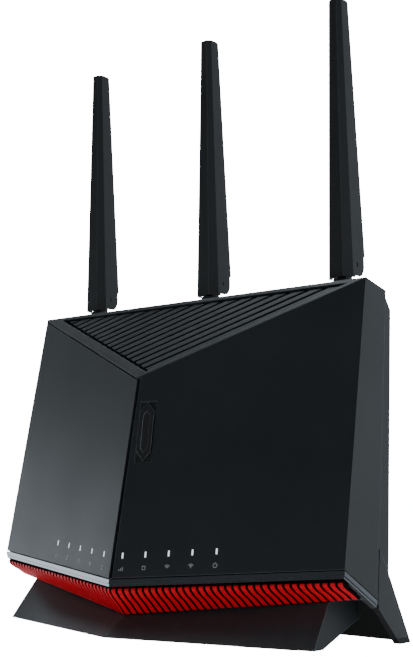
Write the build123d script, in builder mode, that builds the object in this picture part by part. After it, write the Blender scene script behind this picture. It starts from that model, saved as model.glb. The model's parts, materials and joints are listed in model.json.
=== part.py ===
# Wireless router: a faceted upright housing on a wedge-shaped front foot and two rear legs,
# with three folding aerials along its top edge.
# Frame: +X to the right as seen from the front, +Y to the back, +Z up, in millimetres.
# The origin is under the middle of the outer box, on the surface that the feet stand on.
import os
from math import atan2, cos, degrees, radians, sin

from build123d import *

os.makedirs("parts", exist_ok=True)

# ---------------------------------------------------------------- driving dimensions
# Corners of the right half of the housing; the left half is its mirror image.
CREASE_FOOT = Vector(0, -41.5, 28.7)  # lower end of the crease down the front
CREASE_TIP = Vector(0, -22.7, 129.5)  # upper end of the crease, the vent's lowest corner
FRONT_CORNER = Vector(118.2, -9.3, 36.9)  # lower front corner of the side wall
RIDGE_END = Vector(115.3, 15.5, 173.8)  # end of the ridge along the top
TOP_BACK = Vector(115.3, 33.0, 169.5)  # upper back corner of the side wall
SIDE_BACK = Vector(118.2, 16.8, 22.1)  # lower back corner of the side wall
RIB_TOP, RIB_TOP_END = Vector(0, -40.9, 23.8), Vector(117.4, -8.9, 31.4)  # upper edge of the red band
RIB_FOOT, RIB_FOOT_END = Vector(0, -30.4, 10.0), Vector(117.4, 3.6, 22.5)  # lower edge of the red band
TOE = Vector(0, -44.7, 0.4)  # middle of the front foot's lower edge
TOE_END = Vector(105.0, -15.4, 0.4)  # end of the front foot's lower edge
FOOT_SHOULDER = Vector(102.7, -0.7, 20.4)  # upper end of the front foot's end ridge
FOOT_REAR = (18.0, 10.0)  # (y, z) of a point on the foot's rising underside
BACK_LOW, BACK_HIGH = (29.4, 33.0), (39.0, 160.0)  # (y, z) of two points on the back wall

WALL = 2.2  # general wall
FRONT_WALL = 3.8  # front wall, which carries the set-in panel
TRIM_HEIGHT = 4.2
DECK_FRONT = 24.4  # front edge of the aerial deck in the top
TRIM_GAP = 0.7
PAD_HEIGHT = 3.0  # rear rubber pads
RIBS = 32  # ribs on each half of the red band
RIB_WIDTH = 2.4
SLAT_PITCH = 5.0
SLOT_WIDTH = 3.0  # gap between two slats
LAMP_FIRST = {-1: 8.4, 1: 5.6}  # first indicator slit on each half, from the crease
LAMP_PITCH, LAMPS = 12.4, 5
LAMP_RISE = 10.7  # height of the slits above the lower edge of the front
LAMP_SIZE = (0.8, 2.7)

AERIAL_SPACING = 89.3
AERIAL_Y = 33.5
AERIAL_TOP = 325.0
BOSS_TOP = 171.2  # seat of an aerial connector
BLADE_FOOT = 178.4  # lowest point of an aerial blade
PIN_Y, PIN_Z = 35.5, 185.0  # hinge axis of an aerial
PIN_R = 1.2
FIT = 0.05  # radial clearance of what turns

BOARD_Y, BOARD_T = 14.0, 1.6  # front face and thickness of the main board
BOARD_BACK = BOARD_Y + BOARD_T
PORT_Z = 42.5  # height of the row of sockets


def flipped(point):
    return Vector(-point.X, point.Y, point.Z)


def plane_of(a, b, c, outward):
    """The plane through three points, with its normal on the outward side."""
    normal = (b - a).cross(c - a).normalized()
    if normal.dot(Vector(outward)) < 0:
        normal = normal * -1
    return Plane(origin=a, x_dir=(b - a).normalized(), z_dir=normal)


def mirror_plane(plane):
    """The same plane on the other side of the middle."""
    normal = plane.z_dir
    return Plane(origin=flipped(plane.origin), x_dir=(0, normal.Z, -normal.Y), z_dir=flipped(normal))


front_right = plane_of(CREASE_FOOT, FRONT_CORNER, CREASE_TIP, (1, -3, 1))
side_right = plane_of(FRONT_CORNER, SIDE_BACK, RIDGE_END, (1, 0, 0))
belt_right = plane_of(CREASE_FOOT, FRONT_CORNER, SIDE_BACK, (0, 0, -1))
front_left, side_left, belt_left = [mirror_plane(p) for p in (front_right, side_right, belt_right)]
vent_plane = Plane(
    origin=CREASE_TIP,
    x_dir=(1, 0, 0),
    z_dir=plane_of(CREASE_TIP, RIDGE_END, flipped(RIDGE_END), (0, -1, 1)).z_dir,
)
top_plane = plane_of(RIDGE_END, flipped(RIDGE_END), TOP_BACK, (0, 0, 1))
seam_plane = plane_of(TOP_BACK, flipped(TOP_BACK), SIDE_BACK, (0, 1, 0))
back_plane = plane_of(Vector(0, *BACK_LOW), Vector(9, *BACK_LOW), Vector(0, *BACK_HIGH), (0, 1, 0))
fronts, sides, belts = [front_right, front_left], [side_right, side_left], [belt_right, belt_left]


def back_y(z):
    """Where the back wall's outer face is at a height."""
    (y0, z0), (y1, z1) = BACK_LOW, BACK_HIGH
    return y0 + (y1 - y0) * (z - z0) / (z1 - z0)


def front_y(x, z):
    """Where the front wall's outer face is."""
    normal = front_right.z_dir
    return CREASE_FOOT.Y - (normal.X * abs(x) + normal.Z * (z - CREASE_FOOT.Z)) / normal.Y


def form(*cuts):
    """A block cut down by pairs of (planes, inset): what is inside all of them."""
    with BuildPart() as block:
        with Locations((0, 0, 100)):
            Box(300, 200, 300)
        for planes, inset in cuts:
            for plane in planes:
                split(bisect_by=plane.offset(-inset), keep=Keep.BOTTOM)
    return block.part


def lowered(plane, drop):
    return Plane(origin=plane.origin - Vector(0, 0, drop), x_dir=plane.x_dir, z_dir=plane.z_dir)


def finish(builder, name):
    builder.part.label = name
    export_step(builder.part, f"parts/{name}.step")


def outline(corners):
    """A filled outline, drawn in the sketch that is open."""
    Polygon(*corners, align=None)


def on_plane(plane, corners):
    flat = [plane.to_local_coords(c) for c in corners]
    return [(p.X, p.Y) for p in flat]


def prism(plane, corners, depth):
    """A flat plate: its outline's corners lie on the plane, and it goes inwards by depth."""
    with BuildPart() as plate:
        with BuildSketch(plane):
            outline(on_plane(plane, corners))
        extrude(amount=-depth)
    return plate.part


def inset_corners(corners, insets):
    """Corners of a convex outline with edge i, from corner i to i + 1, moved in by insets[i]."""
    count = len(corners)
    normal = (corners[1] - corners[0]).cross(corners[2] - corners[1]).normalized()
    edges = []
    for i in range(count):
        along = (corners[(i + 1) % count] - corners[i]).normalized()
        edges.append((corners[i] + normal.cross(along) * insets[i], along))
    moved = []
    for i in range(count):
        (p, u), (q, v) = edges[i - 1], edges[i]
        reach = (q - p).cross(v).dot(normal) / u.cross(v).dot(normal)
        moved.append(p + u * reach)
    return moved


# ---------------------------------------------------------------- front of the housing
outer_form = form((fronts + [vent_plane, top_plane, seam_plane] + sides + belts, 0))
inner_form = form((fronts, FRONT_WALL), ([vent_plane, top_plane] + sides, WALL))
vent_corners = [CREASE_TIP, RIDGE_END, flipped(RIDGE_END)]
vent_hole = inset_corners(vent_corners, (2.0, 2.4, 4.6))
left_corners = [CREASE_FOOT, CREASE_TIP, flipped(RIDGE_END), flipped(FRONT_CORNER)]
PANEL_T, PANEL_GAP = 1.8, 0.8
GROOVE = 1.5  # width of the dark groove to the right of the crease
panel_seat = inset_corners(left_corners, (-0.4, 0.9, 0.0, 0.0))
panel_edge = inset_corners(left_corners, (0.6, 0.9 + PANEL_GAP, 0.0, 0.0))
right_corners = [CREASE_FOOT, FRONT_CORNER, RIDGE_END, CREASE_TIP]
groove_far = inset_corners(right_corners, (0.0, 0.0, 1.0, GROOVE))
groove_corners = [CREASE_FOOT, groove_far[0], groove_far[3], CREASE_TIP]


def lamp_places(side):
    """Centres of the indicator slits on the outer face of one half of the front."""
    rise = (FRONT_CORNER.Z - CREASE_FOOT.Z) / FRONT_CORNER.X
    places = []
    for i in range(LAMPS):
        x = LAMP_FIRST[side] + LAMP_PITCH * i
        z = CREASE_FOOT.Z + rise * x + LAMP_RISE
        places.append(Vector(side * x, front_y(x, z), z))
    return places


def lamp_plane(place, side):
    """A plane on the front at one slit, with its second axis running up the front."""
    normal = front_right.z_dir if side > 0 else front_left.z_dir
    across = Vector(normal.Y, -normal.X, 0) * -1
    return Plane(origin=place, x_dir=across, z_dir=normal)


def lamp_bars(width, height, rise, depth):
    """One upright bar in each slit, from rise above the front's face to depth below it."""
    with BuildPart() as bars:
        for side in (-1, 1):
            for place in lamp_places(side):
                with BuildSketch(lamp_plane(place, side).offset(rise)):
                    Rectangle(width, height)
                extrude(amount=-(rise + depth))
    return bars.part


lamp_cuts = lamp_bars(LAMP_SIZE[0] + 0.1, LAMP_SIZE[1] + 0.1, 1.0, 9.0)
BADGE_PLACE = Vector(8.8, front_y(8.8, 101.0), 101.0)
badge_plane = lamp_plane(BADGE_PLACE, 1)

with BuildPart() as front_shell:
    add(outer_form)
    add(inner_form, mode=Mode.SUBTRACT)
    add(prism(vent_plane.offset(1), [c + vent_plane.z_dir for c in vent_hole], 8), mode=Mode.SUBTRACT)
    add(prism(front_left, panel_seat, PANEL_T + 0.1), mode=Mode.SUBTRACT)
    add(prism(front_right, groove_corners, 2.2), mode=Mode.SUBTRACT)
    add(lamp_cuts, mode=Mode.SUBTRACT)
    with BuildSketch(badge_plane):
        Rectangle(9.6, 31.6)
    extrude(amount=-0.8, mode=Mode.SUBTRACT)
    # Notch in the top wall for the aerial deck.
    with Locations((0, DECK_FRONT - 0.4, 165)):
        Box(216.4, 30, 20, align=(Align.CENTER, Align.MIN, Align.CENTER), mode=Mode.SUBTRACT)
    # Screw posts behind the front wall.
    for x in (-105, 105):
        for z in (58, 146):
            with BuildSketch(Plane(origin=(x, 18, z), x_dir=(1, 0, 0), z_dir=(0, 1, 0))):
                Circle(3.4)
                Circle(1.25, mode=Mode.SUBTRACT)
            extrude(amount=-(18 - front_y(x, z) - FRONT_WALL + 0.6))
finish(front_shell, "front_shell")

with BuildPart() as left_panel:
    add(prism(front_left, panel_edge, PANEL_T))
    add(form((sides, 0), (belts, 0)), mode=Mode.INTERSECT)
    add(lamp_cuts, mode=Mode.SUBTRACT)
finish(left_panel, "left_panel")

# The grille is one plate with parallel slots; the slats run along the right edge of the vent.
grille_outline = inset_corners(vent_corners, (2.25, 2.65, 4.85))
grille_window = inset_corners(vent_corners, (3.0, 3.4, 5.6))
slat_ends = inset_corners(vent_corners, (3.2, 3.6, 6.4))
vent_tip = vent_plane.to_local_coords(RIDGE_END)
slat_angle = degrees(atan2(vent_tip.Y, vent_tip.X))
with BuildPart() as vent_grille:
    face = vent_plane.offset(-0.8)
    with BuildSketch(face):
        outline(on_plane(vent_plane, grille_outline))
    extrude(amount=-3.0)
    with BuildSketch(face):
        outline(on_plane(vent_plane, grille_window))
        for i in range(22):
            away = 4.6 + SLAT_PITCH * i
            with Locations((-away * sin(radians(slat_angle)), away * cos(radians(slat_angle)))):
                Rectangle(520, SLOT_WIDTH, rotation=slat_angle, mode=Mode.SUBTRACT)
    extrude(amount=-3.0, mode=Mode.SUBTRACT)
    # The border lies deeper than the slats, which leaves a dark groove round them.
    with BuildSketch(face):
        outline(on_plane(vent_plane, grille_outline))
        outline_hole = on_plane(vent_plane, slat_ends)
        Polygon(*outline_hole, align=None, mode=Mode.SUBTRACT)
    extrude(amount=-2.2, mode=Mode.SUBTRACT)
finish(vent_grille, "vent_grille")

trim_outer = form((fronts + [seam_plane] + sides, 0), ([lowered(p, TRIM_HEIGHT) for p in belts], 0))
with BuildPart() as edge_trim:
    add(trim_outer)
    add(form(([lowered(p, TRIM_GAP) for p in belts], 0)), mode=Mode.SUBTRACT)
    add(form((fronts + sides, 3.2)), mode=Mode.SUBTRACT)
    # Its lower lip steps in.
    lip = form((fronts + sides, 0.5)) + form(([lowered(p, TRIM_HEIGHT - 1.3) for p in belts], 0))
    add(lip, mode=Mode.INTERSECT)
finish(edge_trim, "edge_trim")

with BuildPart() as badge:
    with BuildSketch(badge_plane.offset(-0.8)):
        outline([(-4.2, -10.5), (0, -15.4), (4.2, -10.5), (4.2, 10.5), (0, 15.4), (-4.2, 10.5)])
    extrude(amount=1.5)
    chamfer(badge.faces().sort_by(Axis.Y)[0].edges(), length=0.4)
    with BuildSketch(badge_plane.offset(0.7)):
        outline([(-2.0, -8.5), (0, -10.8), (2.0, -8.5), (2.0, 8.5), (0, 10.8), (-2.0, 8.5)])
    extrude(amount=-0.4, mode=Mode.SUBTRACT)
finish(badge, "badge")


# ---------------------------------------------------------------- red ribbed band
def band_point(side, share, down):
    """A point on the band: share along its half, down from its upper edge (0) to its lower (1)."""
    upper = RIB_TOP + (RIB_TOP_END - RIB_TOP) * share
    lower = RIB_FOOT + (RIB_FOOT_END - RIB_FOOT) * share
    point = upper + (lower - upper) * down
    return Vector(side * point.X, point.Y, point.Z)


def band_section(side, share, rise, depth):
    """The band's outline in a plane across X: rise outside its face, depth inside it."""
    upper, lower = band_point(side, share, 0), band_point(side, share, 1)
    slope = (lower - upper).normalized()
    inward = Vector(0, -slope.Z, slope.Y)
    corners = [upper - inward * rise, lower - inward * rise, lower + inward * depth, upper + inward * depth]
    return upper.X, [(c.Y, c.Z) for c in corners]


above_band = form(([lowered(p, TRIM_HEIGHT + 0.4) for p in belts], 0))


def half_band(side):
    with BuildPart() as band:
        for share in (0.0, 1.0):
            x, corners = band_section(side, share, 0, 1.6)
            with BuildSketch(Plane.YZ.offset(x)):
                outline(corners)
        loft(ruled=True)
        for i in range(RIBS):
            x, corners = band_section(side, (i + 0.55) / RIBS, 1.2, 0.6)
            with BuildSketch(Plane.YZ.offset(x - RIB_WIDTH / 2)):
                outline(corners)
            extrude(amount=RIB_WIDTH)
        add(above_band, mode=Mode.SUBTRACT)
    return band.part


with BuildPart() as rib_band:
    add(half_band(-1))
    add(half_band(1))
finish(rib_band, "rib_band")

# ---------------------------------------------------------------- underside, back, feet
# Rear stand: two side legs, joined by a sloping skirt across the back.
leg_outline = [(20.2, 44.9), (17.4, 21.0), (17.9, 17.4), (32.4, PAD_HEIGHT), (43.2, PAD_HEIGHT), (27.6, 32.4)]
pad_outline = [(32.4, PAD_HEIGHT), (35.2, 0), (44.7, 0), (43.2, PAD_HEIGHT)]
LEG_T = 3.0
leg_space = form((sides, 0))
with BuildPart() as rear_stand:
    for side in (-1, 1):
        with BuildSketch(Plane.YZ.offset(side * 114.9)):
            outline(leg_outline)
        extrude(amount=side * 6)
    # Sloping skirt.
    with BuildSketch(Plane.YZ.offset(-115.5)):
        outline([(27.6, 32.4), (44.4, 0.6), (41.8, 0.6), (26.4, 29.6), (26.4, 32.4)])
    extrude(amount=231.0)
    # Shallow ribs stiffen the skirt.
    for x in (-76, -38, 0, 38, 76):
        with BuildSketch(Plane.YZ.offset(x - 0.8)):
            outline([(26.4, 30.0), (41.8, 0.8), (37.6, 0.8), (26.4, 22.0)])
        extrude(amount=1.6)
    add(leg_space, mode=Mode.INTERSECT)
finish(rear_stand, "rear_stand")

TRAY_BACK, TRAY_TOP = 25.8, 32.4
hull_planes = [
    plane_of(band_point(s, 0, 1), band_point(s, 1, 1), band_point(s, 0, 1) + Vector(0, 9, 0), (0, 0, -1))
    for s in (-1, 1)
]
band_planes = [
    plane_of(band_point(s, 0, 1), band_point(s, 1, 1), band_point(s, 0.5, 0), (0, -1, -1)) for s in (-1, 1)
]
tray_rear = Plane(origin=(0, TRAY_BACK, 0), x_dir=(1, 0, 0), z_dir=(0, 1, 0))
tray_front = Plane(origin=(0, TRAY_BACK - WALL, 0), x_dir=(1, 0, 0), z_dir=(0, -1, 0))
tray_lid = Plane(origin=(0, 0, TRAY_TOP), x_dir=(1, 0, 0), z_dir=(0, 0, 1))
with BuildPart() as bottom_cover:
    # The underside is a shallow V, from the band's lower edge straight to the back.
    add(form((hull_planes + [tray_rear], 0), (sides, 0.9), (band_planes, 1.7)))
    add(form((hull_planes, WALL)), mode=Mode.SUBTRACT)
    # Air slots in the underside.
    with BuildSketch(Plane.XY):
        with Locations((0, 8.0)):
            with GridLocations(12.0, 14.0, 15, 2):
                SlotOverall(12.0, 3.0, rotation=90)
    extrude(amount=TRAY_TOP, mode=Mode.SUBTRACT)
    # Back wall, up to the back cover.
    add(form((hull_planes + [tray_rear, tray_front, tray_lid], 0), (sides, 0.9)))
    # Cheeks that fill the corners between band, trim and underside.
    for side in (-1, 1):
        with BuildSketch(Plane.YZ.offset(side * (RIB_FOOT_END.X - WALL / 2) - WALL / 2)):
            outline(
                [
                    (RIB_FOOT_END.Y - 12.0, RIB_FOOT_END.Z + 10.4),
                    (RIB_FOOT_END.Y, RIB_FOOT_END.Z),
                    (RIB_FOOT_END.Y + 10.0, RIB_FOOT_END.Z),
                    (RIB_FOOT_END.Y + 10.0, RIB_FOOT_END.Z + 2.4),
                ]
            )
        extrude(amount=WALL)
    for neighbour in (edge_trim, rear_stand, rib_band, front_shell):
        add(neighbour.part, mode=Mode.SUBTRACT)
finish(bottom_cover, "bottom_cover")

# The back cover is a shell open to the front, with a deck for the aerials let into the top.
COVER_FOOT = 33.0
COVER_IN = 1.5  # how far its sides lie inside the front shell's
SEAM_GAP = 1.0
seam_start = seam_plane.origin + seam_plane.z_dir * SEAM_GAP
behind_seam = Plane(origin=seam_start, x_dir=(1, 0, 0), z_dir=seam_plane.z_dir * -1)
cover_floor = Plane(origin=(0, 0, COVER_FOOT), x_dir=(1, 0, 0), z_dir=(0, 0, -1))
shoulder_planes = []
for side in (-1, 1):
    shoulder_planes.append(
        plane_of(
            Vector(side * 114.5, back_y(160), 160),
            Vector(side * 114.5, 33.4, 168.2),
            Vector(side * 101, back_y(168), 168),
            (side, 1, 1),
        )
    )
deck_front = Plane(origin=(0, DECK_FRONT, 0), x_dir=(1, 0, 0), z_dir=(0, -1, 0))
deck_ends = [Plane(origin=(side * 107.9, 0, 0), x_dir=(0, 1, 0), z_dir=(side, 0, 0)) for side in (-1, 1)]
VENT_ROWS, VENT_PITCH = 12, 7.0

SOCKETS = {  # name: (x, width, height) of what shows through the back cover
    "dc_inlet": (-92.0, 9.0, 11.0),
    "power_button": (-75.0, 8.0, 8.0),
    "usb_socket_left": (-58.0, 7.2, 14.6),
    "usb_socket_right": (-44.0, 7.2, 14.6),
    "fast_lan_socket": (-22.0, 16.0, 13.6),
    "wan_socket": (0.0, 16.0, 13.6),
    "lan_socket_block": (42.0, 60.0, 13.6),
}
SMALL_BUTTONS = {"reset_button": 82.0, "wps_button": 91.0, "light_button": 102.0}
aerials = {"left": -AERIAL_SPACING, "middle": 0.0, "right": AERIAL_SPACING}

PLATE_LEFT, PLATE_RIGHT, PLATE_TOP = -101.0, 76.0, 53.5  # outline of the socket plate
PLATE_MIDDLE, PLATE_WIDTH = (PLATE_LEFT + PLATE_RIGHT) / 2, PLATE_RIGHT - PLATE_LEFT


def back_wall(gap):
    """The part of the back wall that the socket plate takes, with a gap all round."""
    low, high = COVER_FOOT - gap, PLATE_TOP + gap
    with BuildPart() as block:
        with Locations((PLATE_MIDDLE, 40, (low + high) / 2)):
            Box(PLATE_WIDTH + 2 * gap, 40, high - low)
        split(bisect_by=back_plane.offset(gap), keep=Keep.BOTTOM)
        split(bisect_by=back_plane.offset(-WALL - gap), keep=Keep.TOP)
    return block.part


with BuildPart() as rear_cover:
    add(form((sides, COVER_IN), ([back_plane, top_plane, behind_seam, cover_floor] + shoulder_planes, 0)))
    add(form((sides, COVER_IN + WALL), ([back_plane, top_plane, cover_floor] + shoulder_planes, WALL)),
        mode=Mode.SUBTRACT)
    deck = form(([back_plane, top_plane, deck_front] + deck_ends, 0))
    hollow = form(([top_plane], 2.6))
    add(deck - hollow)
    for x in aerials.values():
        with BuildSketch(Plane.XY.offset(BOSS_TOP)):
            with Locations((x, AERIAL_Y)):
                Circle(7.0)
        extrude(amount=-14.0, taper=-3)
    for x in aerials.values():
        with BuildSketch(Plane.XY.offset(BOSS_TOP)):
            with Locations((x, AERIAL_Y)):
                Circle(3.2)
        extrude(amount=-20.0, mode=Mode.SUBTRACT)
        # Underneath, the boss is hollow down from its 3 mm thick seat.
        with BuildSketch(Plane.XY.offset(BOSS_TOP - 3.0)):
            with Locations((x, AERIAL_Y)):
                Circle(3.9)
        extrude(amount=-20.0, mode=Mode.SUBTRACT)
    # Room for the socket plate, and cut-outs for the small buttons.
    add(back_wall(0.2), mode=Mode.SUBTRACT)
    socket_face = Plane(origin=(0, 40, PORT_Z), x_dir=(-1, 0, 0), z_dir=(0, 1, 0))
    with BuildSketch(socket_face):
        for name, x in SMALL_BUTTONS.items():
            with Locations((-x, 0)):
                if name == "reset_button":
                    Circle(1.4)
                else:
                    SlotOverall(7.0, 4.0, rotation=90)
    extrude(amount=-14, mode=Mode.SUBTRACT)
    # Rows of slanted air slots over the sockets.
    with BuildSketch(socket_face):
        with Locations((0, 65)):
            with GridLocations(32.0, VENT_PITCH, 6, VENT_ROWS):
                SlotOverall(27.0, 2.8, rotation=-12)
    extrude(amount=-14, mode=Mode.SUBTRACT)
    # Screw posts that meet those of the front shell.
    for x in (-105, 105):
        for z in (58, 146):
            with BuildSketch(Plane(origin=(x, 18.2, z), x_dir=(-1, 0, 0), z_dir=(0, 1, 0))):
                Circle(3.4)
            extrude(amount=back_y(z) - 1.0 - 18.2)
            with Locations(Plane(origin=(x, back_y(z), z), x_dir=(-1, 0, 0), z_dir=(0, 1, 0))):
                CounterBoreHole(radius=1.7, counter_bore_radius=3.0, counter_bore_depth=2.2)
    add(rear_stand.part, mode=Mode.SUBTRACT)
finish(rear_cover, "rear_cover")

with BuildPart() as socket_plate:
    add(back_wall(0))
    with BuildSketch(socket_face):
        for x, width, height in SOCKETS.values():
            with Locations((-x, 0)):
                Rectangle(width + 0.7, height + 0.7)
    extrude(amount=-14, mode=Mode.SUBTRACT)
    add(rear_stand.part, mode=Mode.SUBTRACT)
finish(socket_plate, "socket_plate")


# Front foot: a hollow wedge of two halves that meet in a crease. Its slope is flatter in the
# middle than at the ends, so each half is lofted between two profiles.
FOOT_CEILING = 24.0
FOOT_WALL = 2.0
along_toe = (TOE_END - TOE) / TOE_END.X  # the lower edge's run for each millimetre of x
SLOPE_MIDDLE = (RIB_FOOT.Y - TOE.Y) / (RIB_FOOT.Z - TOE.Z)  # run back for each millimetre up
shoulder_run = FOOT_SHOULDER.Y - TOE_END.Y - along_toe.Y * (FOOT_SHOULDER.X - TOE_END.X)
SLOPE_END = shoulder_run / (FOOT_SHOULDER.Z - TOE_END.Z)


def foot_profile(toe_y, slope, inset):
    """Corners (y, z) of a section across the foot, with its front and sole set in."""
    start = toe_y + inset * (1 + slope * slope) ** 0.5
    low, back = TOE.Z + inset, 60.0
    return [
        (start + slope * inset, low),
        (start + slope * (FOOT_CEILING - TOE.Z), FOOT_CEILING),
        (back, FOOT_CEILING),
        (back, low),
    ]


def foot_half(side, inset):
    end = Vector(side * TOE_END.X, TOE_END.Y, TOE_END.Z)
    shoulder = Vector(side * FOOT_SHOULDER.X, FOOT_SHOULDER.Y, FOOT_SHOULDER.Z)
    heel = Vector(0, 7.0, 0)
    tip = plane_of(end, end + heel, shoulder, (side, 0, 0.3))
    under = plane_of(TOE + heel, end + heel, Vector(end.X, *FOOT_REAR), (0, 1, -1))
    rear = Plane(origin=(0, TRAY_BACK - FOOT_WALL, 0), x_dir=(1, 0, 0), z_dir=(0, 1, 0))
    with BuildPart() as wedge:
        with BuildSketch(Plane.YZ):
            outline(foot_profile(TOE.Y, SLOPE_MIDDLE, inset))
        with BuildSketch(Plane.YZ.offset(end.X)):
            outline(foot_profile(TOE_END.Y, SLOPE_END, inset))
        loft(ruled=True)
        for plane in (tip, under, rear):
            split(bisect_by=plane.offset(-inset), keep=Keep.BOTTOM)
    return wedge.part


with BuildPart() as front_foot:
    for side in (-1, 1):
        add(foot_half(side, 0))
    for side in (-1, 1):
        add(foot_half(side, FOOT_WALL), mode=Mode.SUBTRACT)
    add(form((hull_planes, -0.05)), mode=Mode.SUBTRACT)
finish(front_foot, "front_foot")

with BuildPart() as rubber_feet:
    for side in (-1, 1):
        with BuildSketch(Plane.YZ.offset(side * 114.9)):
            outline(pad_outline)
        extrude(amount=side * 6)
    add(leg_space, mode=Mode.INTERSECT)
    add(rear_stand.part, mode=Mode.SUBTRACT)
    for side in (-1, 1):
        along = (TOE_END - TOE).normalized()
        spot = TOE + along * 84 + Vector(0, 4.2, 0)
        with BuildSketch(Plane.XY):
            with Locations((side * spot.X, spot.Y)):
                SlotOverall(30, 4.0, rotation=side * degrees(atan2(along.Y, along.X)))
        extrude(amount=TOE.Z)
finish(rubber_feet, "rubber_feet")


# ---------------------------------------------------------------- main board and what is on it
def back_facing(y):
    """A plane across Y whose normal points to the back; its first axis runs to -X."""
    return Plane(origin=(0, y, 0), x_dir=(-1, 0, 0), z_dir=(0, 1, 0))


def slab(places, width, height, y0, y1):
    """Boxes centred on (x, z) places, from y0 back to y1."""
    with BuildPart() as boxes:
        with BuildSketch(back_facing(y0)):
            with Locations(*[(-x, z) for x, z in places]):
                Rectangle(width, height)
        extrude(amount=y1 - y0)
    return boxes


BOARD_LOW, BOARD_HIGH, BOARD_HALF = 30.0, 150.0, 98.0
board_holes = [(x, z) for x in (-92, 92) for z in (56, 144)]
with BuildPart() as main_board:
    with BuildSketch(back_facing(BOARD_Y)):
        with Locations((0, (BOARD_LOW + BOARD_HIGH) / 2)):
            RectangleRounded(2 * BOARD_HALF, BOARD_HIGH - BOARD_LOW, 3)
        with Locations(*[(-x, z) for x, z in board_holes]):
            Circle(1.7, mode=Mode.SUBTRACT)
    extrude(amount=BOARD_T)
finish(main_board, "main_board")

CHIP_T, PAD_T = 1.4, 0.8
chips = {
    "processor": ([(-18, 96)], 21.0, 21.0),
    "network_chips": ([(-58, 118), (40, 118), (40, 78)], 15.0, 15.0),
    "memory_chips": ([(-46, 78), (12, 80)], 12.0, 9.0),
}
for name, (places, width, height) in chips.items():
    finish(slab(places, width, height, BOARD_Y - CHIP_T, BOARD_Y), name)

with BuildPart() as thermal_pads:
    for places, width, height in chips.values():
        with BuildSketch(back_facing(BOARD_Y - CHIP_T - PAD_T)):
            with Locations(*[(-x, z) for x, z in places]):
                Rectangle(width - 1, height - 1)
        extrude(amount=PAD_T)
finish(thermal_pads, "thermal_pads")

SINK_BACK = BOARD_Y - CHIP_T - PAD_T
SINK_BASE = 2.5
with BuildPart() as front_heat_sink:
    with BuildSketch(back_facing(SINK_BACK - SINK_BASE)):
        with Locations((8, 98)):
            Rectangle(134, 74)
    extrude(amount=SINK_BASE)
    with BuildSketch(back_facing(SINK_BACK - SINK_BASE)):
        with Locations((8, 98)):
            with GridLocations(6.0, 1, 21, 1):
                Rectangle(1.2, 74)
    extrude(amount=-5.0)
finish(front_heat_sink, "front_heat_sink")

with BuildPart() as rear_heat_sink:
    with BuildSketch(back_facing(BOARD_BACK + 2.0)):
        with Locations((0, 100)):
            Rectangle(160, 56)
    extrude(amount=2.0)
    with BuildSketch(back_facing(BOARD_BACK)):
        with Locations((0, 100)):
            with GridLocations(150, 46, 2, 2):
                Circle(2.5)
    extrude(amount=2.0)
    with BuildSketch(back_facing(BOARD_BACK + 4.0)):
        with Locations((0, 100)):
            with GridLocations(8.0, 1, 19, 1):
                Rectangle(1.4, 50)
    extrude(amount=5.0)
finish(rear_heat_sink, "rear_heat_sink")

with BuildPart() as radio_shields:
    for x in (-87, 80):
        with Locations(Plane(origin=(x, BOARD_Y, 112), x_dir=(1, 0, 0), z_dir=(0, -1, 0))):
            Box(20, 34, 3.0, align=(Align.CENTER, Align.CENTER, Align.MIN))
            Box(19, 33, 2.7, align=(Align.CENTER, Align.CENTER, Align.MIN), mode=Mode.SUBTRACT)
finish(radio_shields, "radio_shields")

with BuildPart() as board_screws:
    with BuildSketch(back_facing(BOARD_BACK)):
        with Locations(*[(-x, z) for x, z in board_holes]):
            Circle(2.6)
    extrude(amount=1.6)
    with BuildSketch(back_facing(BOARD_BACK)):
        with Locations(*[(-x, z) for x, z in board_holes]):
            Circle(1.5)
    extrude(amount=-6.0)
    with BuildSketch(back_facing(BOARD_BACK + 1.6)):
        with Locations(*[(-x, z) for x, z in board_holes]):
            RegularPolygon(1.2, 6)
    extrude(amount=-1.0, mode=Mode.SUBTRACT)
finish(board_screws, "board_screws")

# Two rails with posts carry the board.
with BuildPart() as board_rails:
    for x, z in board_holes:
        with BuildSketch(back_facing(BOARD_Y)):
            with Locations((-x, z)):
                Circle(3.6)
        extrude(amount=-(BOARD_Y - front_y(x, z) - FRONT_WALL - 2.2))
    with BuildSketch(back_facing(BOARD_Y - 2.8)):
        for z in (56, 144):
            with Locations((0, z)):
                Rectangle(184, 4.0)
    extrude(amount=2.4)
    with BuildSketch(back_facing(BOARD_Y)):
        with Locations(*[(-x, z) for x, z in board_holes]):
            Circle(1.5)
    extrude(amount=-9.0, mode=Mode.SUBTRACT)
finish(board_rails, "board_rails")

with BuildPart() as case_screws:
    for x in (-105, 105):
        for z in (58, 146):
            seat = back_y(z) - 2.2
            with BuildSketch(back_facing(seat)):
                with Locations((-x, z)):
                    Circle(2.7)
            extrude(amount=1.6)
            with BuildSketch(back_facing(seat)):
                with Locations((-x, z)):
                    Circle(1.2)
            extrude(amount=-(seat - 12.6))
            with BuildSketch(back_facing(seat + 1.6)):
                with Locations((-x, z)):
                    Rectangle(3.2, 0.8)
                    Rectangle(0.8, 3.2)
            extrude(amount=-0.9, mode=Mode.SUBTRACT)
finish(case_screws, "case_screws")


# ---------------------------------------------------------------- indicators
LENS_DEPTH = 6.0
LIGHT_BAR_T = 2.2
LAMP_DEPTH = LENS_DEPTH + LIGHT_BAR_T + 1.0  # front face of the lamp boards, below the front
RUN_LENGTH = LAMP_PITCH * (LAMPS - 1)


def lamp_run(side, margin, height, depth, thick):
    """A bar behind one half's row of slits, depth below the front's face."""
    places = lamp_places(side)
    run = lamp_plane(places[LAMPS // 2], side)
    across = (places[-1] - places[0]).normalized()
    tilt = degrees(atan2(across.dot(run.y_dir), across.dot(run.x_dir)))
    with BuildPart() as bar:
        with BuildSketch(run.offset(-depth)):
            Rectangle(RUN_LENGTH + margin, height, rotation=tilt)
        extrude(amount=-thick)
    return bar.part


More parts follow.
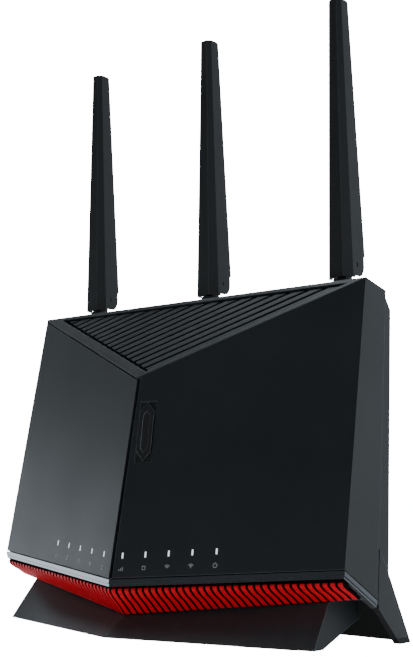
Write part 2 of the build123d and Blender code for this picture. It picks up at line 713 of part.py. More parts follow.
with BuildPart() as light_guides:
    add(lamp_bars(*LAMP_SIZE, 0.0, LENS_DEPTH))
    for side in (-1, 1):
        add(lamp_run(side, 6.0, 5.0, LENS_DEPTH, LIGHT_BAR_T))
finish(light_guides, "light_guides")

with BuildPart() as lamp_boards:
    for side in (-1, 1):
        add(lamp_run(side, 8.0, 9.0, LAMP_DEPTH, 1.0))
finish(lamp_boards, "lamp_boards")

with BuildPart() as status_lamps:
    for side in (-1, 1):
        for place in lamp_places(side):
            with BuildSketch(lamp_plane(place, side).offset(-LAMP_DEPTH)):
                Rectangle(1.6, 1.6)
            extrude(amount=0.8)
finish(status_lamps, "status_lamps")

# ---------------------------------------------------------------- sockets and buttons
SOCKET_FACE = 31.0  # how far back the sockets' mouths lie


def socket_block(name):
    """A socket's body from the board to the mouth, with its width less the cover's clearance."""
    x, width, height = SOCKETS[name]
    return slab([(x, PORT_Z)], width, height, BOARD_BACK, SOCKET_FACE).part


def network_socket(name, count):
    x, width, height = SOCKETS[name]
    with BuildPart() as socket:
        add(socket_block(name))
        with BuildSketch(back_facing(SOCKET_FACE)):
            with Locations((-x, PORT_Z)):
                with GridLocations(15.0, 1, count, 1):
                    Rectangle(11.9, 8.4)
                    with Locations((0, 5.0)):
                        Rectangle(6.2, 2.4)
        extrude(amount=-12.5, mode=Mode.SUBTRACT)
        # Contact springs stand in the floor of each cavity.
        with BuildSketch(back_facing(SOCKET_FACE - 3.0)):
            with Locations((-x, PORT_Z - 3.4)):
                with GridLocations(15.0, 1, count, 1):
                    with GridLocations(1.02, 1, 8, 1):
                        Rectangle(0.4, 1.7)
        extrude(amount=-9.6)
    return socket


finish(network_socket("lan_socket_block", 4), "lan_socket_block")
finish(network_socket("wan_socket", 1), "wan_socket")
finish(network_socket("fast_lan_socket", 1), "fast_lan_socket")

for name in ("usb_socket_left", "usb_socket_right"):
    x = SOCKETS[name][0]
    with BuildPart() as usb_socket:
        add(socket_block(name))
        with BuildSketch(back_facing(SOCKET_FACE)):
            with Locations((-x, PORT_Z)):
                Rectangle(5.8, 13.2)
        extrude(amount=-12.0, mode=Mode.SUBTRACT)
        with BuildSketch(back_facing(SOCKET_FACE - 1.0)):
            with Locations((-x + 1.2, PORT_Z)):
                Rectangle(1.8, 11.0)
        extrude(amount=-11.2)
    finish(usb_socket, name)

DC_X = SOCKETS["dc_inlet"][0]
with BuildPart() as dc_inlet:
    add(socket_block("dc_inlet"))
    with BuildSketch(back_facing(SOCKET_FACE)):
        with Locations((-DC_X, PORT_Z)):
            Circle(3.0)
    extrude(amount=-11.0, mode=Mode.SUBTRACT)
    with BuildSketch(back_facing(SOCKET_FACE - 1.5)):
        with Locations((-DC_X, PORT_Z)):
            Circle(1.2)
    extrude(amount=-10.0)
finish(dc_inlet, "dc_inlet")

PUSH = {"power": 1.6, "reset": 0.6, "wps": 0.8, "light": 0.8}  # travel of each button
CAP_ROOM = 26.0  # the caps start here, clear of the switches over their travel
button_x = {"power": SOCKETS["power_button"][0]}
for name, x in SMALL_BUTTONS.items():
    button_x[name.split("_")[0]] = x
STEM_R = 1.2
STEM = {name: 3.0 + push for name, push in PUSH.items()}  # length of each cap's stem


def switches(names, size):
    """Switch bodies on the board, each with a bore for the stem of its cap."""
    with BuildPart() as bodies:
        for name in names:
            top = CAP_ROOM - 2.0 - PUSH[name]
            add(slab([(button_x[name], PORT_Z)], size, size, BOARD_BACK, top).part)
            with BuildSketch(back_facing(top)):
                with Locations((-button_x[name], PORT_Z)):
                    Circle(STEM_R + FIT)
            extrude(amount=-(STEM[name] - 0.9), mode=Mode.SUBTRACT)
    return bodies


finish(switches(["power"], 11.0), "power_switch")
finish(switches(["reset", "wps", "light"], 6.0), "button_switches")

PROUD = {"power": 1.8, "reset": -1.0, "wps": 0.7, "light": 0.7}  # how far each cap stands out
for name, x in button_x.items():
    front = back_y(PORT_Z) + PROUD[name]
    with BuildPart() as button:
        with BuildSketch(back_facing(CAP_ROOM)):
            with Locations((-x, PORT_Z)):
                if name == "power":
                    RectangleRounded(8.0, 8.0, 1.2)
                elif name == "reset":
                    Circle(1.1)
                else:
                    SlotOverall(6.4, 3.4, rotation=90)
        extrude(amount=front - CAP_ROOM)
        rim = button.faces().sort_by(Axis.Y)[-1].edges()
        chamfer(rim, length=0.3)
        with BuildSketch(back_facing(CAP_ROOM)):
            with Locations((-x, PORT_Z)):
                Circle(STEM_R)
        extrude(amount=-STEM[name])
        if name != "reset":
            # A flange keeps the cap inside the back wall.
            with BuildSketch(back_facing(CAP_ROOM)):
                with Locations((-x, PORT_Z)):
                    if name == "power":
                        Rectangle(10.0, 10.0)
                    else:
                        Rectangle(5.2, 8.6)
            extrude(amount=1.2)
    finish(button, f"{name}_button")

# ---------------------------------------------------------------- aerials
NUT_H = 1.9
RING_LOW, RING_HIGH = 173.5, 175.6
DISC_LOW, DISC_TOP = 175.8, 177.9
STUD_R, STUD_TOP = 3.05, 175.4


def discs(radius, z, rise, mode=Mode.ADD):
    """A round disc on every aerial's axis, from z up by rise."""
    with BuildSketch(Plane.XY.offset(z)) as round_discs:
        with Locations(*aerial_places):
            Circle(radius)
    extrude(round_discs.sketch, amount=rise, mode=mode)


aerial_places = [(x, AERIAL_Y) for x in aerials.values()]
CRIMP_Z, BARREL_Z, SHOULDER_Z = 160.0, 162.2, 165.6
STEM_BORE, STEM_DEPTH = 1.5, 5.0  # bore in the stud for the aerial's stem
with BuildPart() as aerial_connectors:
    discs(1.6, CRIMP_Z, BARREL_Z - CRIMP_Z)
    discs(STUD_R, BARREL_Z, STUD_TOP - BARREL_Z)
    with BuildSketch(Plane.XY.offset(SHOULDER_Z)):
        with Locations(*aerial_places):
            RegularPolygon(3.8, 6)
    extrude(amount=BOSS_TOP - 3.0 - SHOULDER_Z)
    discs(STEM_BORE, STUD_TOP, -STEM_DEPTH, Mode.SUBTRACT)
finish(aerial_connectors, "aerial_connectors")

with BuildPart() as connector_nuts:
    with BuildSketch(Plane.XY.offset(BOSS_TOP)):
        with Locations(*aerial_places):
            RegularPolygon(5.2, 6)
        with Locations(*aerial_places):
            Circle(STUD_R, mode=Mode.SUBTRACT)
    extrude(amount=NUT_H)
    rims = connector_nuts.faces().filter_by(Plane.XY).group_by(Axis.Z)[-1].edges()
    chamfer(rims.filter_by(GeomType.LINE), 0.3)
finish(connector_nuts, "connector_nuts")

# Blade section, measured from the aerial's axis: (half width, half flat, front, shoulder, back).
BLADE_LOW = (7.6, 4.25, -5.9, -1.3, 9.4)
BLADE_HIGH = (4.0, 2.0, -5.9, -3.9, 1.1)
BLADE_WALL = 1.3
EAR_R = 6.6  # reach of the hinge ears from the pin
STEP_Z = 189.6  # the back edge steps in below this height
BACK_GAP = 0.15
CAP_T = 0.9  # the back cap's thickness behind the blade


def blade_section(sizes, x, wall=0.0):
    """The six-sided section, smaller by a wall's thickness on every side."""
    half, flat, front, shoulder, back = sizes
    nose = wall * 0.55  # the flat narrows by this where the wall turns the corner
    return [
        (x - half + wall, AERIAL_Y + back - wall),
        (x - half + wall, AERIAL_Y + shoulder + nose),
        (x - flat + nose, AERIAL_Y + front + wall),
        (x + flat - nose, AERIAL_Y + front + wall),
        (x + half - wall, AERIAL_Y + shoulder + nose),
        (x + half - wall, AERIAL_Y + back - wall),
    ]


def blade_sizes_at(z):
    share = (z - BLADE_FOOT) / (AERIAL_TOP - BLADE_FOOT)
    return [low + (high - low) * share for low, high in zip(BLADE_LOW, BLADE_HIGH)]


def blade_body(x, z0, z1, wall):
    with BuildPart() as body:
        for z in (z0, z1):
            with BuildSketch(Plane.XY.offset(z)):
                outline(blade_section(blade_sizes_at(z), x, wall))
        loft(ruled=True)
    return body.part


def back_strip(x, z0, z1, inset, thick, reach):
    """A strip along the blade's back: inset from its sides, thick, reach behind its back face."""
    with BuildPart() as strip:
        for z in (z0, z1):
            half, flat, front, shoulder, back = blade_sizes_at(z)
            w, y = half - inset, AERIAL_Y + back
            with BuildSketch(Plane.XY.offset(z)):
                near, far = y - thick, y + reach
                outline([(x - w, far), (x - w, near), (x + w, near), (x + w, far)])
        loft(ruled=True)
    return strip.part


for name, x in aerials.items():
    with BuildPart() as coupling_ring:
        with BuildSketch(Plane.XY.offset(RING_LOW)):
            with Locations((x, AERIAL_Y)):
                Circle(5.2)
        extrude(amount=RING_HIGH - RING_LOW)
        chamfer(coupling_ring.faces().sort_by(Axis.Z)[0].edges(), 0.4)
        with BuildSketch(Plane.XY.offset(RING_LOW)):
            with Locations((x, AERIAL_Y)):
                Circle(STUD_R + FIT)
        extrude(amount=RING_HIGH - RING_LOW, mode=Mode.SUBTRACT)
        # Grip flats round the ring.
        with BuildSketch(Plane.XY.offset(RING_LOW)):
            with Locations((x, AERIAL_Y)):
                with PolarLocations(5.35, 18):
                    Circle(0.3)
        extrude(amount=RING_HIGH - RING_LOW, mode=Mode.SUBTRACT)
    finish(coupling_ring, f"coupling_ring_{name}")

    with BuildPart() as swivel_base:
        with BuildSketch(Plane.XY.offset(DISC_LOW)):
            with Locations((x, AERIAL_Y)):
                Circle(4.9)
        extrude(amount=DISC_TOP - DISC_LOW)
        with BuildSketch(Plane.XY.offset(DISC_LOW)):
            with Locations((x, AERIAL_Y)):
                Circle(STEM_BORE - FIT)
        extrude(amount=-(DISC_LOW - STUD_TOP + STEM_DEPTH - 0.4))
        with BuildSketch(Plane.YZ.offset(x - 2.6)):
            with Locations((PIN_Y, PIN_Z)):
                Circle(2.8)
            front, back = PIN_Y - 2.8, PIN_Y + 2.8
            outline([(front, PIN_Z), (front, DISC_LOW), (back, DISC_LOW), (back, PIN_Z)])
            with Locations((PIN_Y, PIN_Z)):
                Circle(PIN_R + FIT, mode=Mode.SUBTRACT)
        extrude(amount=5.2)
    finish(swivel_base, f"swivel_base_{name}")

    with BuildPart() as hinge_pin:
        with BuildSketch(Plane.YZ.offset(x - BLADE_LOW[0] + 0.5)):
            with Locations((PIN_Y, PIN_Z)):
                Circle(PIN_R)
        extrude(amount=2 * BLADE_LOW[0] - 1.0)
    finish(hinge_pin, f"hinge_pin_{name}")

    with BuildPart() as blade_shell:
        add(blade_body(x, BLADE_FOOT, AERIAL_TOP, 0))
        add(blade_body(x, BLADE_FOOT - 1, AERIAL_TOP - 2.0, BLADE_WALL), mode=Mode.SUBTRACT)
        # The channel is open along its back for the cover strip and below it for the hinge.
        add(back_strip(x, BLADE_FOOT - 1, AERIAL_TOP - 2.0, BLADE_WALL, BLADE_WALL + 0.2, 1),
            mode=Mode.SUBTRACT)
        # Hinge ears: higher at the bottom behind the front wall, round about the pin.
        with BuildSketch(Plane.YZ.offset(x - 8)):
            outline(
                [
                    (PIN_Y - 1.6, BLADE_FOOT - 1),
                    (PIN_Y + 14, BLADE_FOOT - 1),
                    (PIN_Y + 14, STEP_Z),
                    (PIN_Y + EAR_R, STEP_Z),
                    (PIN_Y + EAR_R, PIN_Z),
                    (PIN_Y + 3.6, PIN_Z),
                    (PIN_Y + 3.6, PIN_Z - 5.5),
                    (PIN_Y - 1.6, PIN_Z - 5.5),
                ]
            )
            with Locations((PIN_Y, PIN_Z)):
                Circle(EAR_R, mode=Mode.SUBTRACT)
            outline(
                [
                    (PIN_Y - 1.6, BLADE_FOOT - 1),
                    (PIN_Y + 3.7, BLADE_FOOT - 1),
                    (PIN_Y + 3.7, PIN_Z - 5.5),
                    (PIN_Y - 1.6, PIN_Z - 5.5),
                ]
            )
        extrude(amount=16, mode=Mode.SUBTRACT)
        with BuildSketch(Plane.YZ.offset(x - 8)):
            with Locations((PIN_Y, PIN_Z)):
                Circle(PIN_R)
        extrude(amount=16, mode=Mode.SUBTRACT)
    finish(blade_shell, f"blade_shell_{name}")

    with BuildPart() as blade_back:
        add(back_strip(x, STEP_Z + 0.3, AERIAL_TOP - 2.3, BLADE_WALL + BACK_GAP, BLADE_WALL, BACK_GAP))
        add(back_strip(x, STEP_Z + 0.3, AERIAL_TOP - 0.3, 0.1, -0.05, CAP_T))
    finish(blade_back, f"blade_back_{name}")

    with BuildPart() as radiator:
        with BuildSketch(Plane.XZ.offset(-(AERIAL_Y - 2.4))):
            with Locations((x, 254)):
                Rectangle(3.4, 118)
        extrude(amount=0.8)
    finish(radiator, f"radiator_{name}")

# Leads from the board's upper edge to the aerial connectors.
LEAD_R = 0.7
with BuildPart() as aerial_leads:
    for x in aerials.values():
        start = x - 13 if x > 0 else x + 13
        stops = [
            (start, BOARD_BACK + 2.4, 138),
            (start, BOARD_BACK + 9.0, 140),
            ((start + 2 * x) / 3, AERIAL_Y - 5.0, 147),
            (x, AERIAL_Y, 153),
            (x, AERIAL_Y, 160.0),
        ]
        with BuildLine():
            route = FilletPolyline(*stops, radius=3.0)
        with BuildSketch(Plane(origin=route @ 0, z_dir=route % 0)):
            Circle(LEAD_R)
        sweep(path=route)
finish(aerial_leads, "aerial_leads")

with BuildPart() as lead_sockets:
    for x in aerials.values():
        start = x - 13 if x > 0 else x + 13
        with Locations((start, BOARD_BACK, 138)):
            Box(4, 2.2, 4, align=(Align.CENTER, Align.MIN, Align.CENTER))
finish(lead_sockets, "lead_sockets")
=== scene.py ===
# %% [markdown]
# # A wireless router on a wedge foot
# The router is a faceted upright box of textured black plastic. It stands on a wedge in front
# and two legs behind, with a ribbed red band under its front and three folding aerials on top.
# The measured solids come from the CAD frame. This lesson gives them their finishes, and
# rebuilds or adds what a solid modeller leaves plain: the ribs, the printed marks, the socket
# contacts and the light in the indicators.

import json
import math

import bmesh
import bpy
from mathutils import Euler, Matrix, Vector


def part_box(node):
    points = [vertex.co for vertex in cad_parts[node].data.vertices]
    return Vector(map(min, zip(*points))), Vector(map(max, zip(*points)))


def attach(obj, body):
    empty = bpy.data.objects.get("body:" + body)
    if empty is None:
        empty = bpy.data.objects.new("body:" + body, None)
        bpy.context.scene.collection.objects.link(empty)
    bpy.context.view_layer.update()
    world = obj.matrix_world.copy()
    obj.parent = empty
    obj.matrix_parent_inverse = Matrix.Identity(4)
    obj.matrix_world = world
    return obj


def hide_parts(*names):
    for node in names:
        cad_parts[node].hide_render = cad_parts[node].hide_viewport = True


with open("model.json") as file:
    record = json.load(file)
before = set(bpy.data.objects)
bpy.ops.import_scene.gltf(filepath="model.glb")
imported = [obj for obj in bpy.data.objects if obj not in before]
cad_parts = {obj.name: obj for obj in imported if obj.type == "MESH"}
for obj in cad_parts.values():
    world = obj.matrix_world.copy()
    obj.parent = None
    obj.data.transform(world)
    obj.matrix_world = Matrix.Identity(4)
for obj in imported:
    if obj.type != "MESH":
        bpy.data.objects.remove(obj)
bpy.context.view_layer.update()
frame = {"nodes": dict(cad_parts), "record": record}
MM = 0.001
nodes = frame["nodes"]

# %% [markdown]
# ## Measuring the facets
# The front is two flat facets that meet in a crease, and everything printed or lit sits on
# them. Their planes could be typed in, but measuring them from the solids keeps the added
# pieces right if the solids change. Adding up the triangles that face nearly one way gives a
# facet's normal, and the outermost of them lies on its face.

# %% Planes of the two front facets
def facet(node, towards, within=0.985):
    """The normal of a node's triangles that face nearly one way, and the outermost point of them."""
    mesh = nodes[node].data
    towards = Vector(towards).normalized()
    facing = [polygon for polygon in mesh.polygons if polygon.normal.dot(towards) > within]
    normal = sum((polygon.normal * polygon.area for polygon in facing), Vector()).normalized()
    return normal, max((polygon.center for polygon in facing), key=normal.dot)


front_normal, front_centre = {}, {}
front_normal[1], front_centre[1] = facet("front_shell", (0.25, -0.95, 0.18))
front_normal[-1], front_centre[-1] = facet("left_panel", (-0.25, -0.95, 0.18))


def on_front(x, z):
    """The point of the front at that x and z."""
    side = 1 if x >= 0 else -1
    n, c = front_normal[side], front_centre[side]
    return Vector((x, c.y - (n.x * (x - c.x) + n.z * (z - c.z)) / n.y, z))


print("facets:", [round(v, 3) for v in front_normal[1]], [round(v, 3) for v in front_normal[-1]])

# %% [markdown]
# ## A few words for node trees
# Every finish below is a small node tree. A helper that makes a node, sets its values and
# links its inputs in one call keeps each tree short enough to read at a glance.

# %% Node helpers
def node(tree, kind, inputs=(), **settings):
    """Adds a node. inputs maps a socket's name or number to a value or to another socket."""
    made = tree.nodes.new(kind)
    for key, value in settings.items():
        setattr(made, key, value)
    for key, value in dict(inputs).items():
        if isinstance(value, bpy.types.NodeSocket):
            tree.links.new(value, made.inputs[key])
        else:
            made.inputs[key].default_value = value
    return made


def maths(tree, operation, a, b=0.0, clamp=False):
    return node(tree, "ShaderNodeMath", {0: a, 1: b}, operation=operation, use_clamp=clamp).outputs[0]


def mix_colour(tree, share, a, b):
    made = node(tree, "ShaderNodeMix", {0: share, 6: a, 7: b}, data_type="RGBA")
    return made.outputs[2]


def ramp(tree, value, low, high, to_low=0.0, to_high=1.0):
    made = node(tree, "ShaderNodeMapRange", {0: value, 1: low, 2: high, 3: to_low, 4: to_high})
    return made.outputs[0]


def group(name, inputs, outputs):
    """A shader node group with named sockets: (name, kind, default) and (name, kind)."""
    tree = bpy.data.node_groups.new(name, "ShaderNodeTree")
    for title, kind, default in inputs:
        socket = tree.interface.new_socket(title, in_out="INPUT", socket_type=kind)
        socket.default_value = default
    for title, kind in outputs:
        tree.interface.new_socket(title, in_out="OUTPUT", socket_type=kind)
    return tree, tree.nodes.new("NodeGroupInput"), tree.nodes.new("NodeGroupOutput")


def dot(tree, a, b):
    made = node(tree, "ShaderNodeVectorMath", {0: a, 1: b}, operation="DOT_PRODUCT")
    return made.outputs["Value"]


FLOAT, VECTOR = "NodeSocketFloat", "NodeSocketVector"

# %% [markdown]
# ## Rounded edges, wear and painted edge highlights
# Moulded parts have no razor edges: a radius of a few tenths of a millimetre catches the light as a thin
# bright line. The solids have sharp edges. Bevelling their meshes would change measured shapes, so the Bevel
# node rounds the shading only. Where its normal differs from the true one there is an edge, which also gives
# the mask for a lighter edge colour: partly wear, partly a painted highlight along the edge.

# %% Edge group
edge_tree, edge_in, edge_out = group(
    "Rounded edge", [("Radius", FLOAT, 0.0004)], [("Normal", VECTOR), ("Edge", FLOAT)]
)
rounded = node(edge_tree, "ShaderNodeBevel", {"Radius": edge_in.outputs["Radius"]}, samples=4)
true_normal = node(edge_tree, "ShaderNodeNewGeometry").outputs["Normal"]
EDGE_STARTS, EDGE_FULL = 0.995, 0.90  # how far the two normals agree
edge_mask = ramp(edge_tree, dot(edge_tree, rounded.outputs[0], true_normal), EDGE_STARTS, EDGE_FULL)
edge_tree.links.new(rounded.outputs[0], edge_out.inputs["Normal"])
edge_tree.links.new(edge_mask, edge_out.inputs["Edge"])

# %% [markdown]
# ## Spark-eroded grain
# The mould of a matte part is etched, which leaves a fine random grain. It shows as tiny
# height changes and a slightly uneven sheen. Two noises do it: a fine one for the grain's
# height and a broad one, many times larger, for the drift of tone over a whole panel.

# %% Grain group
grain_tree, grain_in, grain_out = group(
    "Moulded grain",
    [("Scale", FLOAT, 2200.0), ("Drift scale", FLOAT, 18.0)],
    [("Height", FLOAT), ("Tone", FLOAT), ("Speck", FLOAT)],
)
object_place = node(grain_tree, "ShaderNodeTexCoord").outputs["Object"]
fine = node(
    grain_tree,
    "ShaderNodeTexNoise",
    {"Vector": object_place, "Scale": grain_in.outputs["Scale"], "Detail": 2.0, "Roughness": 0.6},
)
drift = node(
    grain_tree,
    "ShaderNodeTexNoise",
    {"Vector": object_place, "Scale": grain_in.outputs["Drift scale"], "Detail": 3.0},
)
speck = ramp(grain_tree, fine.outputs[0], 0.62, 0.75)
grain_tree.links.new(fine.outputs[0], grain_out.inputs["Height"])
grain_tree.links.new(ramp(grain_tree, drift.outputs[0], 0.3, 0.7), grain_out.inputs["Tone"])
grain_tree.links.new(speck, grain_out.inputs["Speck"])

# %% [markdown]
# ## Dust
# A thing on a shelf gathers a little dust on what faces up. The surface normal's upward part
# says where, and a noise breaks it up so that it isn't an even film.

# %% Dust group
dust_tree, dust_in, dust_out = group("Settled dust", [("Amount", FLOAT, 0.3)], [("Dust", FLOAT)])
up = node(dust_tree, "ShaderNodeSeparateXYZ", {0: node(dust_tree, "ShaderNodeNewGeometry").outputs["Normal"]})
patches = node(
    dust_tree,
    "ShaderNodeTexNoise",
    {"Vector": node(dust_tree, "ShaderNodeTexCoord").outputs["Object"], "Scale": 140.0, "Detail": 5.0},
)
facing_up = ramp(dust_tree, up.outputs[2], 0.5, 1.0)
broken = maths(dust_tree, "MULTIPLY", facing_up, ramp(dust_tree, patches.outputs[0], 0.45, 0.7))
dust_tree.links.new(maths(dust_tree, "MULTIPLY", broken, dust_in.outputs["Amount"]), dust_out.inputs["Dust"])
print("groups:", len(bpy.data.node_groups))

# %% [markdown]
# ## One recipe for moulded and metal parts
# Most parts differ only in colour, gloss, grain and how bright their edges are painted. One function builds
# such a material from those few values: base colour with drift and specks, lighter edges that are partly wear
# and partly painted highlight, dust on top, an uneven roughness and a fine bump over the rounded normal.

# %% Finish recipe
def finish(name, colour, colour_2=None, rough=0.5, rough_spread=0.08, metal=0.0, grain=2200.0,
           bump=0.15, bump_mm=0.02, edge_mm=0.35, wear_and_highlight=0.25, wear_and_highlight_colour=(0.3, 0.3, 0.3), dust=0.15,
           specular=0.5, coat=0.0, drift=18.0, glow=None, glow_strength=0.0):
    material = bpy.data.materials.new(name)
    material.use_nodes = True
    tree = material.node_tree
    shader = tree.nodes["Principled BSDF"]
    colour_2 = colour_2 or tuple(c * 1.35 for c in colour)
    grained = node(tree, "ShaderNodeGroup", node_tree=grain_tree)
    grained.inputs["Scale"].default_value = grain
    grained.inputs["Drift scale"].default_value = drift
    edged = node(tree, "ShaderNodeGroup", node_tree=edge_tree)
    edged.inputs["Radius"].default_value = edge_mm * MM
    dusty = node(tree, "ShaderNodeGroup", node_tree=dust_tree)
    dusty.inputs["Amount"].default_value = dust
    tone = mix_colour(tree, grained.outputs["Tone"], (*colour, 1), (*colour_2, 1))
    # Lighter edge colour: partly wear, partly a painted highlight along the rounded edges.
    worn_and_highlit = mix_colour(tree, maths(tree, "MULTIPLY", edged.outputs["Edge"], wear_and_highlight), tone, (*wear_and_highlight_colour, 1))
    top = mix_colour(tree, dusty.outputs["Dust"], worn_and_highlit, (0.32, 0.31, 0.3, 1))
    tree.links.new(top, shader.inputs["Base Color"])
    uneven = maths(tree, "MULTIPLY_ADD", grained.outputs["Tone"], rough_spread)
    uneven.node.inputs[2].default_value = rough - rough_spread / 2
    sheen_loss = maths(tree, "MULTIPLY", dusty.outputs["Dust"], 0.5)
    tree.links.new(maths(tree, "ADD", uneven, sheen_loss, clamp=True), shader.inputs["Roughness"])
    raised = node(
        tree,
        "ShaderNodeBump",
        {
            "Height": grained.outputs["Height"],
            "Normal": edged.outputs["Normal"],
            "Strength": bump,
            "Distance": bump_mm * MM,
        },
    )
    tree.links.new(raised.outputs[0], shader.inputs["Normal"])
    shader.inputs["Metallic"].default_value = metal
    shader.inputs["Specular IOR Level"].default_value = specular
    shader.inputs["Coat Weight"].default_value = coat
    shader.inputs["Coat Roughness"].default_value = 0.12
    if glow:
        shader.inputs["Emission Color"].default_value = (*glow, 1)
        shader.inputs["Emission Strength"].default_value = glow_strength
    return material


# %% [markdown]
# ## The finishes
# Each record slot gets its own finish. The housing and the aerials share a matte black, the set-in panel is a
# shade greyer, the trim is a dark, smooth metallic lacquer, and the band is red with a faint painted glow.
# The front foot gets a paler copy of the housing black, a painted lightening that stands for the light the
# floor throws on it. Inside and behind are circuit board green, tin, aluminium, nickel and socket plastics.

# %% Finishes of the outside
finishes = {
    # The housing's strong pale edge colour is mostly a painted highlight along its edges.
    "shell_black": finish("Housing black", (0.011, 0.0125, 0.014), (0.015, 0.017, 0.019),
                          rough=0.46, wear_and_highlight=0.7, edge_mm=0.45,
                          wear_and_highlight_colour=(0.22, 0.23, 0.24)),
    # Paler copy of the housing black: painted lightening for the floor's light on the foot, with painted
    # highlights on its edges.
    "foot_black_painted_lighter": finish("Foot black painted lighter", (0.030, 0.033, 0.036), (0.036, 0.040, 0.043),
                         rough=0.5, wear_and_highlight=0.8, edge_mm=0.5,
                         wear_and_highlight_colour=(0.3, 0.31, 0.32), dust=0.05),
    "panel_grey": finish("Panel grey", (0.013, 0.015, 0.017), (0.018, 0.021, 0.024),
                         rough=0.44, wear_and_highlight=0.4, edge_mm=0.45),
    "trim_grey": finish("Trim satin", (0.13, 0.14, 0.15), (0.155, 0.165, 0.175),
                        rough=0.15, rough_spread=0.04, metal=1.0, bump=0.02, edge_mm=0.05,
                        wear_and_highlight=0.0, dust=0.0),
    # The red's faint emission is a painted glow; the band is no lamp.
    "rib_red": finish("Rib red", (0.90, 0.0, 0.012), (0.96, 0.0, 0.018),
                      rough=0.42, bump=0.04, edge_mm=0.25, wear_and_highlight=0.05,
                      wear_and_highlight_colour=(0.9, 0.03, 0.03), dust=0.0, specular=0.25, glow=(1.0, 0.0, 0.012),
                      glow_strength=0.07),
    # The badge's near-white edge colour is a painted highlight.
    "badge_black": finish("Badge gloss", (0.006, 0.006, 0.007), rough=0.1, bump=0.02, edge_mm=0.25, wear_and_highlight=0.6,
                          wear_and_highlight_colour=(0.7, 0.7, 0.72), coat=1.0, dust=0.02),
    "rubber_black": finish("Foot rubber", (0.012, 0.012, 0.012), rough=0.75, bump=0.3, grain=900.0, dust=0.2),
    "aerial_black": finish("Aerial black", (0.008, 0.0088, 0.0098), (0.011, 0.012, 0.013),
                           rough=0.5, wear_and_highlight=0.3, edge_mm=0.45),
    "connector_nickel": finish("Connector nickel", (0.62, 0.6, 0.56),
                               rough=0.24, metal=1.0, grain=500.0, dust=0.0),
    "nut_black": finish("Nut black", (0.015, 0.015, 0.016), rough=0.35, metal=0.4),
    "button_black": finish("Button black", (0.02, 0.02, 0.021), rough=0.35),
    "button_red": finish("Button red", (0.45, 0.01, 0.012), rough=0.35),
}
# %% Finishes of sockets and inside parts
finishes.update({
    "clear_guide": finish("Indicator light", (0.8, 0.85, 0.9), rough=0.3, dust=0.0,
                          glow=(0.9, 0.95, 1.0), glow_strength=1.1),
    "lamp_white": finish("Lamp white", (0.8, 0.8, 0.7), rough=0.4),
    "circuit_board": finish("Circuit board", (0.01, 0.06, 0.025), (0.014, 0.085, 0.03),
                            rough=0.35, drift=300.0),
    "chip_black": finish("Chip black", (0.02, 0.02, 0.021), rough=0.6, grain=1500.0),
    "pad_grey": finish("Thermal pad", (0.3, 0.33, 0.36), rough=0.8, grain=800.0),
    "sink_aluminium": finish("Sink aluminium", (0.7, 0.71, 0.72), rough=0.4, metal=1.0, grain=700.0),
    "shield_steel": finish("Shield tin", (0.6, 0.6, 0.58), rough=0.35, metal=1.0),
    "screw_steel": finish("Screw zinc", (0.45, 0.45, 0.46), rough=0.35, metal=1.0, dust=0.0),
    "frame_black": finish("Frame black", (0.02, 0.02, 0.02), rough=0.6),
    "lan_black": finish("Socket black", (0.012, 0.012, 0.013), rough=0.38, dust=0.05),
    "wan_blue": finish("Socket blue", (0.01, 0.07, 0.32), rough=0.38, dust=0.05),
    "usb_blue": finish("USB blue", (0.01, 0.06, 0.3), rough=0.4, dust=0.05),
    "dc_black": finish("Inlet black", (0.012, 0.012, 0.012), rough=0.4, dust=0.05),
    "switch_grey": finish("Switch grey", (0.05, 0.05, 0.05), rough=0.5),
    "pin_steel": finish("Pin steel", (0.03, 0.03, 0.032), rough=0.4, metal=0.6, dust=0.0),
    "radiator_copper": finish("Radiator copper", (0.7, 0.35, 0.2), rough=0.35, metal=1.0),
    "lead_black": finish("Lead black", (0.015, 0.015, 0.015), rough=0.5),
})

slot_of = {part["node"]: part["material_slot"] for part in frame["record"]["subparts"]}
# The front foot gets the painted-lighter copy of the black.
slot_of["front_foot"] = "foot_black_painted_lighter"
for name, thing in nodes.items():
    for place in thing.material_slots:
        place.link = "OBJECT"
        place.material = finishes[slot_of[name]]
print("finishes:", len(finishes))

# %% [markdown]
# ## The ribbed band
# Under the front, a red band slopes back to the underside. Its ribs all lie across it: each
# has a short upright lip at the top and then follows the slope. Cutting hundreds of faces by
# hand would be slow and stiff. Here Geometry Nodes repeat one small rib along a straight
# unit band, and one formula then bends that flat space onto the band, which narrows and
# climbs towards the sides. Share is the place along the half, down is the place on the
# slope, and rise stands off it.

# %% The unit rib
LIP = 0.20  # share of the slope that the upright lip takes
RIB_RISE = 1.7  # mm
# Below the crown the rib gets the near-black painted gap shade.
CROWN = 0.68  # share of the rise above which a rib is red


def unit_rib():
    """One rib across x (-0.5 to 0.5), down y (0 to 1) and rise z (0 to 1), with rounded shoulders."""
    profile = [(0.0, 0.78), (0.03, 0.95), (0.10, 1.0), (0.30, 0.98)]
    profile += [(0.6, 0.98), (0.94, 0.98), (0.985, 0.85), (1.0, 0.6)]
    across = [(-0.5, -0.6), (-0.46, -0.1), (-0.36, 0.0), (0.36, 0.0), (0.46, -0.1), (0.5, -0.6)]
    mesh = bpy.data.meshes.new("unit rib")
    shape = bmesh.new()
    rows = []
    for down, rise in profile:
        row = [shape.verts.new((x, down, max(rise + drop, 0.0))) for x, drop in across]
        row = [shape.verts.new((-0.5, down, -0.3)), *row, shape.verts.new((0.5, down, -0.3))]
        rows.append(row)
    for upper, lower in zip(rows, rows[1:]):
        for i in range(len(upper) - 1):
            shape.faces.new((upper[i], lower[i], lower[i + 1], upper[i + 1]))
        shape.faces.new((upper[-1], lower[-1], lower[0], upper[0]))
    shape.faces.new(rows[0])
    shape.faces.new(list(reversed(rows[-1])))
    bmesh.ops.recalc_face_normals(shape, faces=shape.faces)
    shape.to_mesh(mesh)
    shape.free()
    return bpy.data.objects.new("unit rib", mesh)


